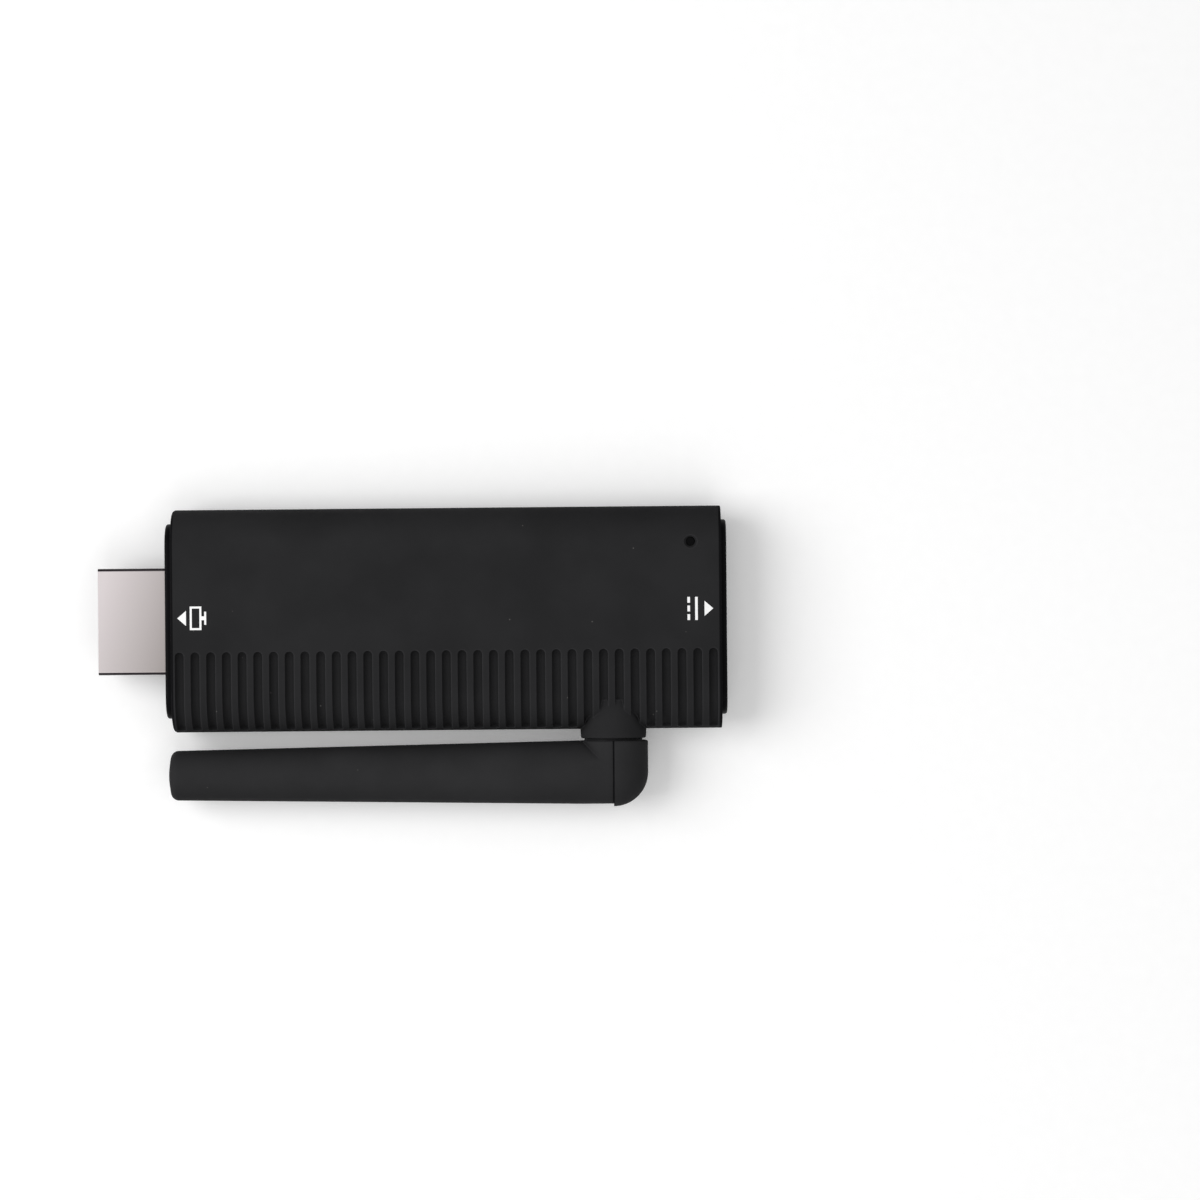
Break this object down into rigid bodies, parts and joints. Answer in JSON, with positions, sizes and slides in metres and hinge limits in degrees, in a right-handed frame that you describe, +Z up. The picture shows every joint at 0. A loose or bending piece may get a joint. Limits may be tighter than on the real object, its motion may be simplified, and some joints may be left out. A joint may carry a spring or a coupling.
{
  "type": "wireless display dongle",
  "caption": "Flat black stick with half-round sides, ribbed along one side, a video plug at one end, a power socket at the other and a swivelling rod antenna alongside.",
  "frame": {"origin": "middle of the casing's flat bottom face, halfway along the casing without its end caps and plug", "axes": "+X along the casing from the video plug to the power socket, the antenna lies on the -Y side, +Z up out of the flat face with the indicator hole"},
  "size_m": [0.0819, 0.0392, 0.0096],
  "materials": {
    "casing_plastic": "fine matte black moulded ABS",
    "antenna_plastic": "matte black elastomer-like moulding",
    "neck_plastic": "black acetal",
    "plug_steel": "nickel-plated folded steel",
    "contact_gold": "gold-plated contacts",
    "insulator_black": "black LCP moulding",
    "board_green": "glass-epoxy laminate with green solder mask",
    "chip_black": "black epoxy chip package",
    "crystal_can": "small metal can",
    "ceramic": "fired ceramic with tinned ends",
    "pad_silicone": "soft silicone thermal pad",
    "spreader_aluminium": "rolled aluminium plate",
    "clear_plastic": "clear polycarbonate",
    "lead_jacket": "black coaxial lead jacket",
    "washer_steel": "spring steel",
    "radiator_brass": "drawn brass"
  },
  "bodies": {
    "casing": {"upper_shell": "casing_plastic", "lower_shell": "casing_plastic", "front_end_cap": "casing_plastic", "rear_end_cap": "casing_plastic", "hdmi_shell": "plug_steel", "hdmi_contacts": "contact_gold", "hdmi_insulator": "insulator_black", "usb_shell": "plug_steel", "usb_contacts": "contact_gold", "usb_insulator": "insulator_black", "main_board": "board_green", "soc_chip": "chip_black", "memory_chip": "chip_black", "radio_chip": "chip_black", "crystal": "crystal_can", "power_inductor": "chip_black", "power_regulator": "chip_black", "flash_chip": "chip_black", "capacitors": "ceramic", "resistors": "ceramic", "thermal_pad": "pad_silicone", "heat_spreader": "spreader_aluminium", "radio_shield": "plug_steel", "status_led": "clear_plastic", "light_pipe": "clear_plastic", "antenna_jack": "contact_gold", "lead_clip": "contact_gold", "antenna_lead": "lead_jacket", "friction_washer": "washer_steel"},
    "antenna": {"swivel_neck": "neck_plastic", "antenna_sheath": "antenna_plastic", "knuckle_cover": "antenna_plastic", "antenna_feed": "lead_jacket", "radiator_sleeve": "radiator_brass", "radiator_wire": "radiator_brass"}
  },
  "joints": [
    {"name": "antenna_swivel", "type": "hinge", "parent": "casing", "child": "antenna", "pos_m": [0.0216, -0.0157, 0.0048], "axis": [0, 1, 0], "range_deg": [-90, 180]}
  ]
}
